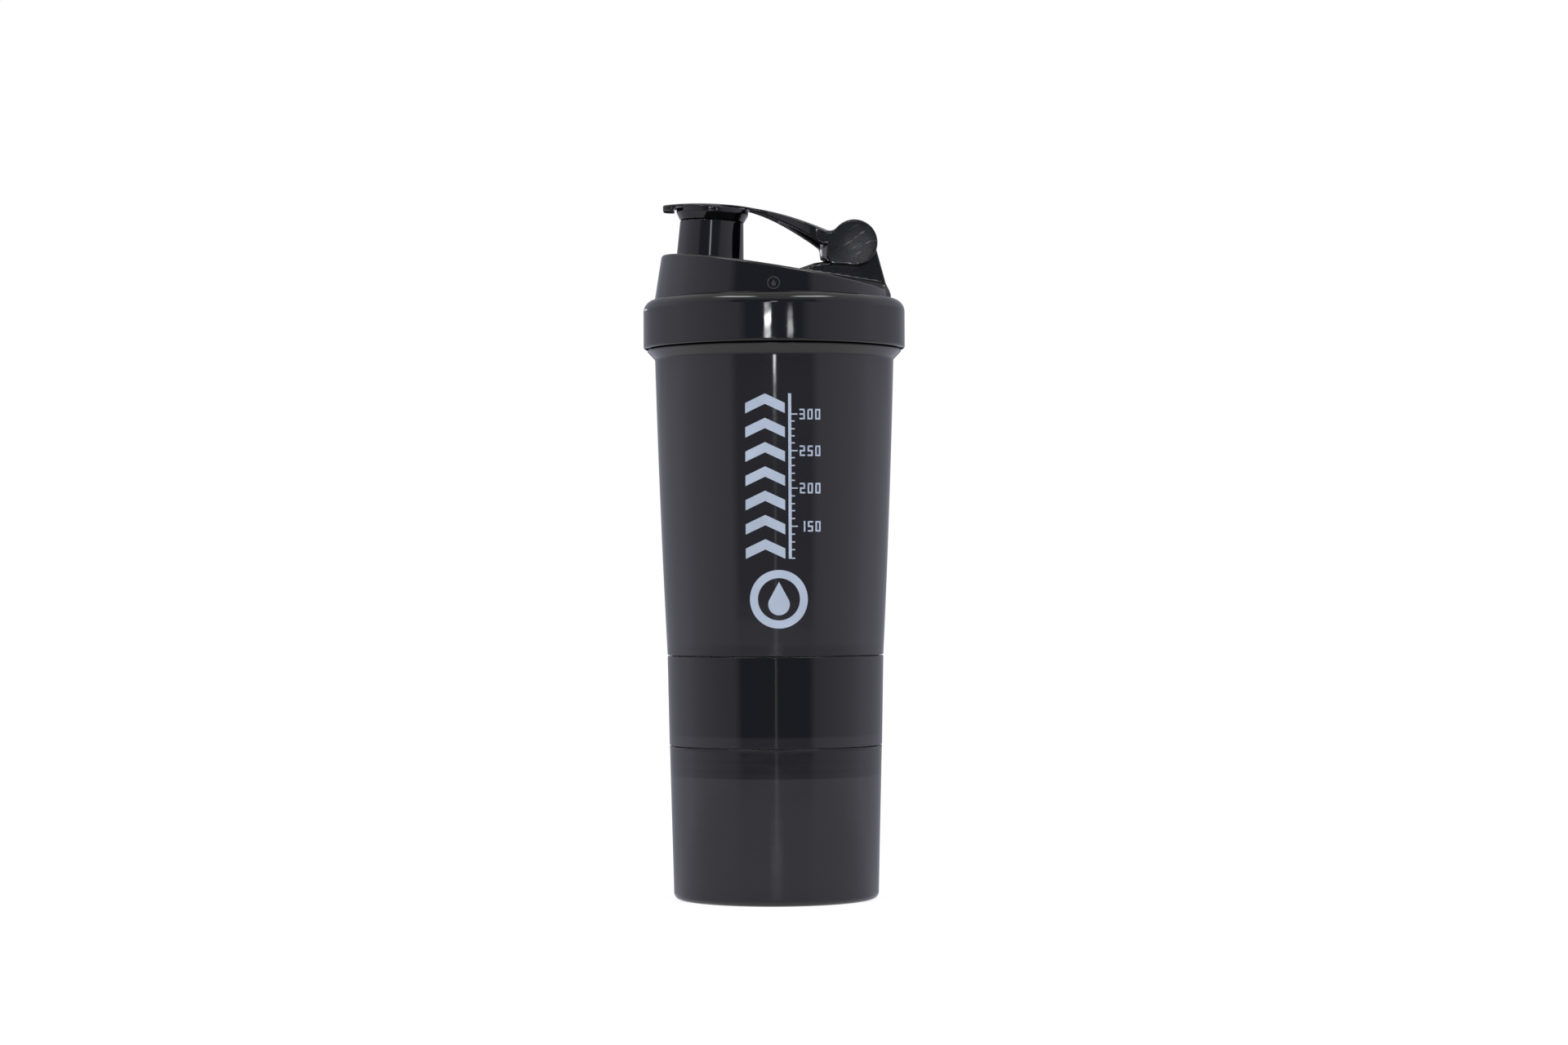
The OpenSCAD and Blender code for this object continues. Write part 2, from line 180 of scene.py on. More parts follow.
def turned(name, outline, threads=(), segments=216):
    """A closed solid of revolution. The outline starts and ends on the axis, or is a closed loop off it."""
    outline = np.array(outline)
    angle = np.arange(segments) * 360 / segments
    r = np.repeat(outline[:, :1], segments, axis=1)
    z = np.repeat(outline[:, 1:], segments, axis=1)
    for thread in threads:
        r = r + thread.lift(angle[None, :], outline[:, :1], z)
    radians = np.radians(angle)
    points = np.stack([r * np.cos(radians), r * np.sin(radians), z], axis=2).reshape(-1, 3)
    on_axis = outline[:, 0] < 1e-6
    faces = []
    for i in range(len(outline)):
        j = (i + 1) % len(outline)
        if on_axis[i] and on_axis[j]:
            continue
        for a in range(segments):
            b = (a + 1) % segments
            corners = [i * segments + a, i * segments + b, j * segments + b, j * segments + a]
            if on_axis[i]:
                corners = [i * segments, corners[2], corners[3]]
            elif on_axis[j]:
                corners = [corners[0], corners[1], j * segments]
            faces.append(corners)
    made = new_object(name, points, faces)
    clean = bmesh.new()
    clean.from_mesh(made.data)
    bmesh.ops.delete(clean, geom=[v for v in clean.verts if not v.link_faces], context="VERTS")
    bmesh.ops.recalc_face_normals(clean, faces=clean.faces)
    clean.to_mesh(made.data)
    clean.free()
    weighted = made.modifiers.new("normals", "WEIGHTED_NORMAL")
    weighted.weight = 100
    return made


def boss_root(mouth_r):
    """Radius of the boss that screws into a mouth, at the root of its thread."""
    return mouth_r - 1.2


def mouth_thread(mouth_r, seam):
    """Thread inside a compartment's mouth."""
    return Thread(mouth_r, mouth_r - 0.9, seam - 7.3, BOSS_LEAD, 20, 1.3, 1.3, 0.6)


def boss_thread(mouth_r, seam):
    """Thread on the boss that screws into such a mouth."""
    root = boss_root(mouth_r)
    return Thread(root, root + 0.9, seam - 8.6, BOSS_LEAD, 0, 1.6, 1.3, 0.6)


def boss_outline(mouth_r, seam):
    """Underside of a part that screws into the one below, from the axis out to its seam."""
    root = boss_root(mouth_r)
    inner = root - BOSS_WALL
    foot = seam - BOSS_H
    outline = rounded([
        (0, seam), (inner, seam, 0.6), (inner, foot, 0.4), (root, foot, 0.5), (root, foot + 0.8)])
    return outline + rows(root, foot + 0.9, root, seam - 0.6)


def mouth_outline(mouth_r, seam):
    """Rim and threaded wall of a mouth, from the outside corner inwards and down."""
    rim = seam - SEAM_GAP
    return rounded([(mouth_r + WALL, rim - 1), (mouth_r + WALL, rim, 0.22), (mouth_r, rim, 0.4),
                    (mouth_r, rim - 1)])[1:] + rows(mouth_r, rim - 1.1, mouth_r, seam - BOSS_H)


def lower_compartment():
    """Powder compartment, with a foot ring and a threaded mouth."""
    mouth_r = LOWER_SEAM_R - WALL
    floor_z = FOOT_RECESS + FLOOR
    outline = rounded([
        (0, FOOT_RECESS), (FOOT_R - 5.4, FOOT_RECESS, 1), (FOOT_R - 4.2, 0, 0.5), (FOOT_R, 0, 2.2),
        (LOWER_SEAM_R - 0.1, LOWER_SEAM - SEAM_GAP - 1)])
    outline += mouth_outline(mouth_r, LOWER_SEAM)
    outline += rounded([(mouth_r, LOWER_SEAM - BOSS_H - 0.2), (FOOT_R - WALL, floor_z, 3), (0, floor_z)])
    return turned("lower_shell", outline, [mouth_thread(mouth_r, LOWER_SEAM)])


def middle_compartment():
    """Pill compartment, with a threaded boss below and a threaded mouth above."""
    lower_mouth = LOWER_SEAM_R - WALL
    mouth_r = UPPER_SEAM_R - WALL
    floor_z = LOWER_SEAM + FLOOR
    boss_r = boss_root(lower_mouth)
    outline = boss_outline(lower_mouth, LOWER_SEAM) + rounded([
        (boss_r, LOWER_SEAM - 0.5), (boss_r, LOWER_SEAM, 0.3), (LOWER_SEAM_R, LOWER_SEAM, 0.22),
        (UPPER_SEAM_R, UPPER_SEAM - SEAM_GAP - 1)])[1:]
    outline += mouth_outline(mouth_r, UPPER_SEAM)
    outline += rounded([
        (mouth_r, UPPER_SEAM - BOSS_H - 0.2), (LOWER_SEAM_R - WALL, floor_z, 2.5), (0, floor_z)])
    return turned("middle_shell", outline,
                  [boss_thread(lower_mouth, LOWER_SEAM), mouth_thread(mouth_r, UPPER_SEAM)])


def cup_radius(z):
    """Outside radius of the cup's slightly bulging wall."""
    share = (z - UPPER_SEAM) / (COLLAR_Z - FLANGE_H - UPPER_SEAM)
    return UPPER_SEAM_R + (CUP_TOP_R - UPPER_SEAM_R) * share + 1.2 * share * (1 - share)


def shaker_cup():
    """Cup, with a threaded boss below, a flange and a threaded neck."""
    mouth_r = UPPER_SEAM_R - WALL
    floor_z = UPPER_SEAM + FLOOR
    flange_z = COLLAR_Z - SEAM_GAP
    wall_z = np.linspace(UPPER_SEAM + 0.9, COLLAR_Z - FLANGE_H - 0.9, 40)
    outline = boss_outline(mouth_r, UPPER_SEAM)
    boss_r = boss_root(mouth_r)
    outline += rounded([
        (boss_r, UPPER_SEAM - 0.5), (boss_r, UPPER_SEAM, 0.3), (UPPER_SEAM_R, UPPER_SEAM, 0.22),
        (cup_radius(wall_z[0]), wall_z[0])])[1:]
    outline += [(cup_radius(z), z) for z in wall_z[1:]]
    outline += rounded([
        (cup_radius(wall_z[-1]), wall_z[-1]), (CUP_TOP_R, COLLAR_Z - FLANGE_H, 1.2),
        (FLANGE_R, flange_z - 0.4, 0.35), (FLANGE_R - 0.3, flange_z, 0.15), (NECK_R, flange_z, 0.4),
        (NECK_R, flange_z + 0.8)])[1:]
    outline += rows(NECK_R, flange_z + 0.9, NECK_R, NECK_TOP - 1.1)
    outline += rounded([(NECK_R, NECK_TOP - 1), (NECK_R, NECK_TOP, 0.6), (NECK_BORE_R, NECK_TOP, 0.5),
                        (NECK_BORE_R, NECK_TOP - 1)])
    inner_z = np.linspace(COLLAR_Z - FLANGE_H, floor_z + 4, 24)
    outline += [(cup_radius(z) - CUP_WALL, z) for z in inner_z]
    outline += rounded([(cup_radius(floor_z + 3.6) - CUP_WALL, floor_z + 3.6),
                        (cup_radius(floor_z) - CUP_WALL, floor_z, 3), (0, floor_z)])
    neck_thread = Thread(NECK_R, NECK_R + 1.5, COLLAR_Z + 4, LID_LEAD, 0, 1.25, 2.2, 1)
    return turned("cup_shell", outline, [boss_thread(mouth_r, UPPER_SEAM), neck_thread])


# Lid: collar, dome, spout and hinge lug.
COLLAR_BORE_R = NECK_R + 1.9
CEILING_Z = NECK_TOP + 1.7
SKIRT_R = NECK_BORE_R - 0.3
DOME_R = NECK_R - 0.1
DOME_WALL = 2.0
DOME_SHIFT = 0.65
DRAFT = math.radians(9)
TILT = math.radians(9.3)
TOP_Z = COLLAR_TOP + 8.8

SPOUT_X = -20.5
SPOUT_R = 10.5
SPOUT_BORE_R = SPOUT_R - 2.6
SPOUT_LEAN = math.radians(3)
SPOUT_NECK_H = 2.8
PARTING_Z = COLLAR_TOP + 26.1

# The hinge, where the CAD's joint has it.
flip_joint = next(j for j in frame["joints"] if j["child"] == "flip_cap")
HINGE_X = flip_joint["pos_m"][0] / MM
HINGE_Z = flip_joint["pos_m"][2] / MM
HINGE_W = 2 * half_width("flip_cap")
CHEEK_R = 7.65
LUG_R = 7.5
LUG_W = 14.4
SLOT_W = 15.0
SLOT_R = 8.15
PIN_R = 1.6
PIN_LEN = 2 * half_width("hinge_pin")

# Flip cap: round cap, crown, arm, keel and web.
CAP_R = SPOUT_R + 1.4
TAB_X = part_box("flip_cap")[0].x / MM
CROWN_Z = top("flip_cap")
CROWN_X = -25.0
CROWN_ARC_R = 106.0
CROWN_CROSS_R = 60.0
ARM_WAIST = 4.0
KEEL_W = 6.0
NOSE_X = HINGE_X - 11.4
NOSE_R = 25.5
WEB_Z = HINGE_Z - 4.5


def lid_collar():
    """Screw collar of the lid, with its thread and sealing skirt."""
    roof_r = SKIRT_R - 1
    skirt_z = CEILING_Z - 6.4
    outline = rounded([
        (COLLAR_BORE_R, COLLAR_Z + 1), (COLLAR_BORE_R, COLLAR_Z, 0.4), (COLLAR_R, COLLAR_Z, 0.9),
        (COLLAR_R, COLLAR_TOP, 4), (roof_r, COLLAR_TOP, 0.2), (roof_r, skirt_z, 0.3), (SKIRT_R, skirt_z, 0.3),
        (SKIRT_R, CEILING_Z, 0.3), (COLLAR_BORE_R, CEILING_Z, 0.3), (COLLAR_BORE_R, CEILING_Z - 1)])
    outline += rows(COLLAR_BORE_R, CEILING_Z - 1.1, COLLAR_BORE_R, COLLAR_Z + 1.1)
    thread = Thread(COLLAR_BORE_R, COLLAR_BORE_R - 1.5, COLLAR_Z + 2.1, LID_LEAD, 60, 1.2, 2.2, 1)
    return turned("lid_collar", outline, [thread])


# ---------------------------------------------------------------------------------------------------
# Moulded parts: distance functions, negative inside, and a net over their surface


def joined(a, b, fillet):
    """Union with a round fillet where the two shapes meet."""
    near = np.hypot(np.maximum(fillet - a, 0), np.maximum(fillet - b, 0))
    return np.maximum(fillet, np.minimum(a, b)) - near


def common(a, b, edge):
    """Intersection with a rounded edge."""
    return np.minimum(-edge, np.maximum(a, b)) + np.hypot(np.maximum(edge + a, 0), np.maximum(edge + b, 0))


def cut(a, b, edge):
    """Shape a with b taken away, and the edge of the cut rounded."""
    return common(a, -b, edge)


def outline_distance(u, v, points):
    """Distance from (u, v) to a closed outline."""
    nearest, inside = np.inf, False
    for (au, av), (bu, bv) in zip(points, points[1:] + points[:1]):
        du, dv = bu - au, bv - av
        share = np.clip(((u - au) * du + (v - av) * dv) / (du * du + dv * dv), 0, 1)
        nearest = np.minimum(nearest, np.hypot(u - au - du * share, v - av - dv * share))
        crossing = ((av > v) != (bv > v)) & (u < au + (v - av) * du / (dv or 1))
        inside = np.logical_xor(inside, crossing)
    return np.where(inside, -nearest, nearest)


def spout_frame(x, z):
    """Position along and across the leaning spout, from where it meets the flip cap."""
    dx, dz = x - SPOUT_X, z - PARTING_Z
    return (dx * math.cos(SPOUT_LEAN) - dz * math.sin(SPOUT_LEAN),
            dx * math.sin(SPOUT_LEAN) + dz * math.cos(SPOUT_LEAN))


def lug_outline():
    """Side outline of the hinge lug: a round head, a drafted back and a low ramp in front."""
    return arc(HINGE_X, HINGE_Z, LUG_R, 225, -12, 28) \
        + [(COLLAR_R - 5.3, COLLAR_TOP + 1), (3, COLLAR_TOP + 1), (3, COLLAR_TOP + 8.2),
           (HINGE_X - 13.1, COLLAR_TOP + 11.8), (HINGE_X - 8.4, HINGE_Z - 5.6)]


def dome_shape(x, y, z):
    """The lid's sloping dome with its spout, hinge lug and hollow."""
    side = (np.hypot(x + DOME_SHIFT, y) - DOME_R + (z - COLLAR_TOP) * math.tan(DRAFT)) * math.cos(DRAFT)
    slope = x * math.sin(TILT) + (z - TOP_Z) * math.cos(TILT)
    across, along = spout_frame(x, z)
    around = np.hypot(across, y)
    barrel = common((around - SPOUT_R + along * math.tan(SPOUT_LEAN)) * math.cos(SPOUT_LEAN), along, 0.15)
    neck = common(around - SPOUT_R + 1 + 0.2 * np.clip(along, 0, 3), along - SPOUT_NECK_H, 0.5)
    lug = common(outline_distance(x, z, lug_outline()), np.abs(y) - LUG_W / 2, 0.8)
    shape = joined(common(side, slope, 0.9), barrel, 1.8)
    shape = joined(shape, lug, 2.6)
    shape = joined(shape, neck, 0.3)
    shape = cut(shape, common(side + DOME_WALL, slope + DOME_WALL, 1), 0.4)
    shape = cut(shape, np.maximum(around - SPOUT_BORE_R + 0.05 * along, -18 - along), 0.5)
    shape = cut(shape, np.hypot(x - HINGE_X, z - HINGE_Z) - PIN_R - 0.06, 0.3)
    return np.maximum(shape, COLLAR_TOP - 0.9 - z)


def crown(x):
    """Height of the flip cap's crown on the centre line."""
    return CROWN_Z - CROWN_ARC_R + np.sqrt(CROWN_ARC_R ** 2 - (x - CROWN_X) ** 2)


def belly(x):
    """Height of the arm's underside."""
    d = x + 8.5
    return CROWN_Z - 2.2 - 0.3 * d - 0.0085 * d * d


def keel(x):
    """Height of the underside of the keel, which deepens towards the hinge."""
    return belly(x) - 0.087 * (x - 2)


def arm_side():
    """Side outline of the flip cap's plate, thumb tab and arm."""
    web_x = HINGE_X - 10.2
    return [(TAB_X, CROWN_Z + 2), (TAB_X, CROWN_Z - 2.5), (TAB_X + 3.8, CROWN_Z - 2.5),
            (TAB_X + 3.8, CROWN_Z - 1.3), (-10.5, CROWN_Z - 1.7)] \
        + [(x, belly(x)) for x in np.linspace(-8.5, web_x, 14)] \
        + [(HINGE_X - 7.9, HINGE_Z + 0.6), (HINGE_X, HINGE_Z + 0.6), (HINGE_X, CROWN_Z + 2)]


def arm_plan():
    """Plan outline of the arm, from its waist at the cap to the full width at the hinge."""
    near = []
    for x in np.linspace(-14, HINGE_X, 18):
        share = min(1, max(0, (x + 5) / 19))
        half = ARM_WAIST + (HINGE_W / 2 - ARM_WAIST) * (3 - 2 * share) * share * share
        near.append((x, half + 0.3 * max(0, x - 13)))
    return near + [(x, -y) for x, y in reversed(near)]


def keel_side():
    """Side outline of the keel, and of the part of the web behind its nose."""
    return [(x, keel(x)) for x in np.linspace(2, NOSE_X, 10)] \
        + [(NOSE_X + 2, keel(NOSE_X)), (NOSE_X + 2, HINGE_Z + 2), (2, belly(2) + 1)]


def web_side():
    """Side outline of the web in front of the lug."""
    back = HINGE_X - 5
    return [(NOSE_X - 1, HINGE_Z + 2), (NOSE_X + 0.3, WEB_Z), (back, WEB_Z), (back, HINGE_Z + 2)]


def cheek_corner():
    """Side outline of the corner in front of each cheek."""
    return [(HINGE_X - CHEEK_R, HINGE_Z), (HINGE_X, HINGE_Z), (HINGE_X, HINGE_Z - CHEEK_R)] \
        + arc(HINGE_X - 7.2, HINGE_Z - 6.1, 1, 270, 180, 6)


def flip_shape(x, y, z):
    """The flip cap: round cap with a thumb tab, arched arm and two cheeks at the hinge."""
    across, along = spout_frame(x, z)
    around = np.hypot(across, y)
    beside = np.abs(y)
    drafted = beside - (z - HINGE_Z) * 0.02
    disc = np.hypot(x - SPOUT_X, y) - CAP_R
    tab = np.hypot(np.maximum(TAB_X + 3 - x, 0), np.maximum(beside - 3, 0)) - 3
    tab = np.maximum(tab, x - SPOUT_X)
    plan = joined(joined(disc, tab, 2), outline_distance(x, drafted, arm_plan()), 3)
    lean = (x - CROWN_X) / CROWN_ARC_R
    over = np.hypot(y, z - CROWN_Z + CROWN_CROSS_R) - CROWN_CROSS_R + CROWN_Z - crown(x)
    over = over * np.sqrt(1 - lean ** 2)
    plate = common(outline_distance(x, z, arm_side()), plan, 0.45)
    flare = (around - SPOUT_R - 0.1 - (along - 0.15) * 0.53) * 0.88
    skirt = common(np.maximum(around - CAP_R, flare), 0.15 - along, 0.1)
    skirt = np.maximum(skirt, along - 4.2)
    shape = common(joined(plate, skirt, 0.6), over, 0.6)
    stiffener = common(outline_distance(x, z, keel_side()), beside - KEEL_W / 2, 0.4)
    shape = joined(shape, stiffener, 0.6)
    nose = np.hypot(x - NOSE_X - NOSE_R, y) - NOSE_R
    shape = joined(shape, common(outline_distance(x, z, web_side()), nose, 0.3), 1.0)
    hinge = np.hypot(x - HINGE_X, z - HINGE_Z)
    cheek = np.minimum(hinge - CHEEK_R, outline_distance(x, z, cheek_corner()))
    shape = common(joined(shape, cheek, 2.6), drafted - HINGE_W / 2, 0.5)
    slot = np.minimum(hinge - SLOT_R, np.maximum(z - WEB_Z, HINGE_X - 16 - x))
    shape = cut(shape, common(slot, beside - SLOT_W / 2, 0.2), 0.3)
    shape = cut(shape, np.maximum(hinge - PIN_R, beside - PIN_LEN / 2), 0.1)
    return cut(shape, np.maximum(around - SPOUT_R + 0.5, np.abs(along - 1.3) - 2.3), 0.2)


def gradient(shape, points, reach=0.04):
    """Direction in which a shape's distance grows, at each point."""
    slope = np.empty_like(points)
    for axis in range(3):
        step = np.zeros(3)
        step[axis] = reach
        slope[:, axis] = (shape(*(points + step).T) - shape(*(points - step).T)) / (2 * reach)
    return slope


def surface_net(name, shape, low, high, pitch):
    """A smooth closed mesh where shape(x, y, z) is zero, from a grid over a box."""
    axes = [np.arange(a, b + pitch, pitch) for a, b in zip(low, high)]
    sizes = [len(a) for a in axes]
    value = np.broadcast_to(shape(*np.meshgrid(*axes, indexing="ij", sparse=True)), sizes)
    quads, crossings = [], []
    for k in range(3):
        first = value.take(range(sizes[k] - 1), axis=k)
        second = value.take(range(1, sizes[k]), axis=k)
        start = np.argwhere((first < 0) != (second < 0))
        a, b = first[tuple(start.T)], second[tuple(start.T)]
        crossing = start.astype(float)
        crossing[:, k] += a / (a - b)
        ring = []
        for dp, dq in ((0, 0), (-1, 0), (-1, -1), (0, -1)):
            cell = start.copy()
            cell[:, (k + 1) % 3] += dp
            cell[:, (k + 2) % 3] += dq
            ring.append(np.ravel_multi_index(cell.T, sizes))
        ring = np.array(ring).T
        ring[a > 0] = ring[a > 0][:, ::-1]
        quads.append(ring)
        crossings.append(np.repeat(crossing, 4, axis=0))
    cells, index = np.unique(np.concatenate(quads), return_inverse=True)
    index = index.reshape(-1, 4)
    crossings = np.concatenate(crossings)
    count = np.bincount(index.ravel())
    centre = [np.bincount(index.ravel(), weights=crossings[:, i]) / count for i in range(3)]
    points = np.array(low) + pitch * np.stack(centre, axis=1)
    for _ in range(4):
        slope = gradient(shape, points)
        step = shape(*points.T)[:, None] * slope / np.maximum((slope ** 2).sum(axis=1, keepdims=True), 0.05)
        points -= np.clip(step, -pitch / 2, pitch / 2)
    made = new_object(name, points, index.tolist())
    normals = gradient(shape, points)
    normals /= np.maximum(np.linalg.norm(normals, axis=1, keepdims=True), 1e-6)
    made.data.normals_split_custom_set_from_vertices(normals.tolist())
    return made


def lid_dome():
    """Net over the lid's dome, spout and lug."""
    reach = DOME_R + DOME_SHIFT + 2
    pitch = 0.5
    return surface_net("lid_dome", dome_shape, (-reach, -reach, COLLAR_TOP - 2),
                       (reach, reach, PARTING_Z + SPOUT_NECK_H + 2), pitch)


def flip_cap():
    """Net over the flip cap."""
    pitch = 0.4
    return surface_net("flip_lid", flip_shape, (TAB_X - 2, -HINGE_W / 2 - 2, HINGE_Z - CHEEK_R - 2),
                       (HINGE_X + CHEEK_R + 2, HINGE_W / 2 + 2, CROWN_Z + 2), pitch)


# ---------------------------------------------------------------------------------------------------
# Screen print on the cup's front, and the raised mark on the lid's

INK_PROUD = 0.05
INK_SUNK = 0.03
MARK_PROUD = 0.3
MARK_Z = 200.6
PRINT_LOW = 112.0
PRINT_HIGH = 165.0
BADGE_X = 1.3
BADGE_Z = 99.0
BADGE_R = 9.4
SCALE_X = 5.0


def wrapped(name, shapes, radius_at, proud, centre_x=0.0):
    """Flat shapes laid as a thin film on the front of a round wall.

    Each shape is a closed list of (across, height). radius_at gives the wall's radius at a height in mm.
    """
    work = bmesh.new()
    for outline in shapes:
        work.faces.new([work.verts.new((u, 0, v)) for u, v in outline])
    for axis, pitch in (((1, 0, 0), 0.8), ((0, 0, 1), 4.0)):
        reach = [v.co @ Vector(axis) for v in work.verts]
        for cut_at in np.arange(math.floor(min(reach) / pitch), max(reach) / pitch) * pitch:
            everything = work.verts[:] + work.edges[:] + work.faces[:]
            bmesh.ops.bisect_plane(work, geom=everything, plane_co=Vector(axis) * cut_at, plane_no=axis)
    bmesh.ops.triangulate(work, faces=work.faces)
    for v in work.verts:
        r = radius_at(v.co.z) + proud
        turn = v.co.x / r
        v.co = Vector((centre_x + r * math.sin(turn), -r * math.cos(turn), v.co.z)) * MM
    work.normal_update()
    bmesh.ops.reverse_faces(work, faces=[f for f in work.faces if f.normal.y > 0])
    bmesh.ops.solidify(work, geom=work.faces[:], thickness=(proud + INK_SUNK) * MM)
    bmesh.ops.recalc_face_normals(work, faces=work.faces)
    # The steps above leave the faces in an order of their own, so they are put in a fixed one.
    ordered = sorted(work.faces, key=lambda f: (*f.calc_center_median(), *f.normal))
    for rank, face in enumerate(ordered):
        face.index = rank
    work.faces.sort()
    mesh = bpy.data.meshes.new(name)
    work.to_mesh(mesh)
    work.free()
    made = bpy.data.objects.new(name, mesh)
    bpy.context.scene.collection.objects.link(made)
    return made


def ring_halves(u, v, outer, inner):
    """A flat ring, as two halves that share their cut edges."""
    return [arc(u, v, outer, a, a + 180, 40) + arc(u, v, inner, a + 180, a, 40) for a in (90, 270)]


def droplet(u, v, size):
    """A drop with a round foot and a pointed top."""
    return arc(u, v - size * 0.3, size * 0.62, -215, 35, 32) + [(u, v + size)]


def chevron_column():
    """Bold chevrons, one above another."""
    count, half, rise, stroke = 7, 6.4, 3.0, 3.3
    mid = -3.0
    pitch = (PRINT_HIGH - PRINT_LOW - rise - stroke) / (count - 1)
    shapes = []
    for i in range(count):
        z = PRINT_LOW + i * pitch
        shapes.append([(mid - half, z), (mid, z + rise), (mid + half, z), (mid + half, z + stroke),
                       (mid, z + rise + stroke), (mid - half, z + stroke)])
    return shapes


def fill_height(millilitres):
    """Height of the drink in the cup at that volume."""
    z, volume, step = UPPER_SEAM + FLOOR, 0.0, 0.25
    while volume < millilitres * 1000:
        volume += math.pi * (cup_radius(z) - CUP_WALL) ** 2 * step
        z += step
    return z


# Which bars of a seven-bar digit are set.
SEGMENTS = {"0": "abcdef", "1": "bc", "2": "abged", "3": "abgcd", "5": "afgcd"}


def digit(char, u, v, height):
    """A digit of straight bars, from its lower left corner."""
    width, bar = height * 0.52, height * 0.15
    mid = height / 2
    spans = {
        "a": (0, height - bar, width, height), "b": (width - bar, mid, width, height),
        "c": (width - bar, 0, width, mid), "d": (0, 0, width, bar), "e": (0, 0, bar, mid),
        "f": (0, mid, bar, height), "g": (0, mid - bar / 2, width, mid + bar / 2)}
    shapes = []
    for name in SEGMENTS[char]:
        u0, v0, u1, v1 = spans[name]
        shapes.append([(u + u0, v + v0), (u + u1, v + v0), (u + u1, v + v1), (u + u0, v + v1)])
    return shapes


def volume_scale():
    """A vertical line with ticks, and a number at each 50 ml."""
    shapes = [[(SCALE_X - 0.5, PRINT_LOW), (SCALE_X + 0.5, PRINT_LOW), (SCALE_X + 0.5, PRINT_HIGH),
               (SCALE_X - 0.5, PRINT_HIGH)]]
    for amount in range(110, 310, 10):
        z = fill_height(amount)
        if not PRINT_LOW < z < PRINT_HIGH:
            continue
        long = amount % 50 == 0
        reach = 2.0 if long else 1.1
        shapes.append([(SCALE_X + 0.5, z - 0.2), (SCALE_X + 0.5 + reach, z - 0.2),
                       (SCALE_X + 0.5 + reach, z + 0.2), (SCALE_X + 0.5, z + 0.2)])
        if long:
            for i, char in enumerate(str(amount)):
                shapes += digit(char, SCALE_X + 3.2 + i * 2.6, z - 1.7, 3.4)
    return shapes


def print_pieces():
    """The three pieces of print on the cup."""
    badge = ring_halves(BADGE_X, BADGE_Z, BADGE_R, BADGE_R - 2.6) + [droplet(BADGE_X, BADGE_Z, 5.6)]
    return [wrapped("print_chevrons", chevron_column(), cup_radius, INK_PROUD),
            wrapped("print_scale", volume_scale(), cup_radius, INK_PROUD),
            wrapped("print_badge", badge, cup_radius, INK_PROUD)]


def dome_radius(z):
    """Outside radius of the lid's drafted dome."""
    return DOME_R - (z - COLLAR_TOP) * math.tan(DRAFT)


def lid_mark():
    """A small raised drop in a ring on the front of the dome."""
    shapes = ring_halves(DOME_SHIFT, MARK_Z, 2.1, 1.7) + [droplet(DOME_SHIFT, MARK_Z, 1.2)]
    return wrapped("lid_mark", shapes, dome_radius, MARK_PROUD, -DOME_SHIFT)


# ---------------------------------------------------------------------------------------------------
# Materials


class Nodes:
    """Short names for the shader nodes used here."""

    def __init__(self, tree):
        self.tree = tree
        tree.nodes.clear()

    def add(self, kind, values=None, **settings):
        node = self.tree.nodes.new(kind)
        for key, value in settings.items():
            setattr(node, key, value)
        for key, value in (values or {}).items():
            self.put(node.inputs[key], value)
        return node

    def put(self, socket, value):
        if isinstance(value, bpy.types.NodeSocket):
            self.tree.links.new(value, socket)
        else:
            socket.default_value = value

    def math(self, operation, *values):
        node = self.add("ShaderNodeMath", operation=operation)
        for socket, value in zip(node.inputs, values):
            self.put(socket, value)
        return node.outputs[0]

    def fade(self, value, start, end):
        """1 below start, 0 above end, and smooth in between."""
        node = self.add("ShaderNodeMapRange", {"Value": value, 1: start, 2: end, 3: 1.0, 4: 0.0},
                        interpolation_type="SMOOTHSTEP")
        return node.outputs[0]

    def ramp(self, value, stops):
        """Colour at a value from 0 to 1; stops are (place, grey level or colour)."""
        node = self.add("ShaderNodeValToRGB", {"Fac": value})
        ramp = node.color_ramp
        while len(ramp.elements) < len(stops):
            ramp.elements.new(0.5)
        for element, (place, level) in zip(ramp.elements, stops):
            element.position = place
            element.color = (*level, 1) if isinstance(level, tuple) else (level, level, level, 1)
        return node.outputs["Color"]

    def noise(self, where, scale, detail=3.0, stretch=(1, 1, 1)):
        """Smooth noise about 0.5."""
        placed = self.add("ShaderNodeMapping", {"Vector": where, "Scale": stretch})
        node = self.add("ShaderNodeTexNoise", {"Vector": placed.outputs[0], "Scale": scale, "Detail": detail})
        return node.outputs[0]

    def mix(self, share, first, second, blend="MIX"):
        """Two colours, mixed by a share or blended."""
        node = self.add("ShaderNodeMix", {0: share, 6: first, 7: second}, data_type="RGBA", blend_type=blend)
        return node.outputs[2]

    def off(self, value, centre):
        """Distance of a value from a centre."""
        return self.math("ABSOLUTE", self.math("SUBTRACT", value, centre))

    def bump(self, height, strength, distance, normal=None):
        values = {"Height": height, "Strength": strength, "Distance": distance}
        if normal:
            values["Normal"] = normal
        return self.add("ShaderNodeBump", values).outputs[0]

    def output(self, kind, shader):
        node = self.add(kind)
        self.put(node.inputs[0], shader.outputs[0])


def banded(nodes, where, tone, bands):
    """A tone scaled by height; bands are (height in mm, grey level) pairs."""
    height = nodes.add("ShaderNodeSeparateXYZ", {"Vector": where}).outputs[2]
    low, high = bands[0][0], bands[-1][0]
    share = nodes.add("ShaderNodeMapRange", {"Value": height, 1: low * MM, 2: high * MM}).outputs[0]
    levels = nodes.ramp(share, [((z - low) / (high - low), level) for z, level in bands])
    return nodes.mix(1.0, levels, (*tone, 1), "MULTIPLY")


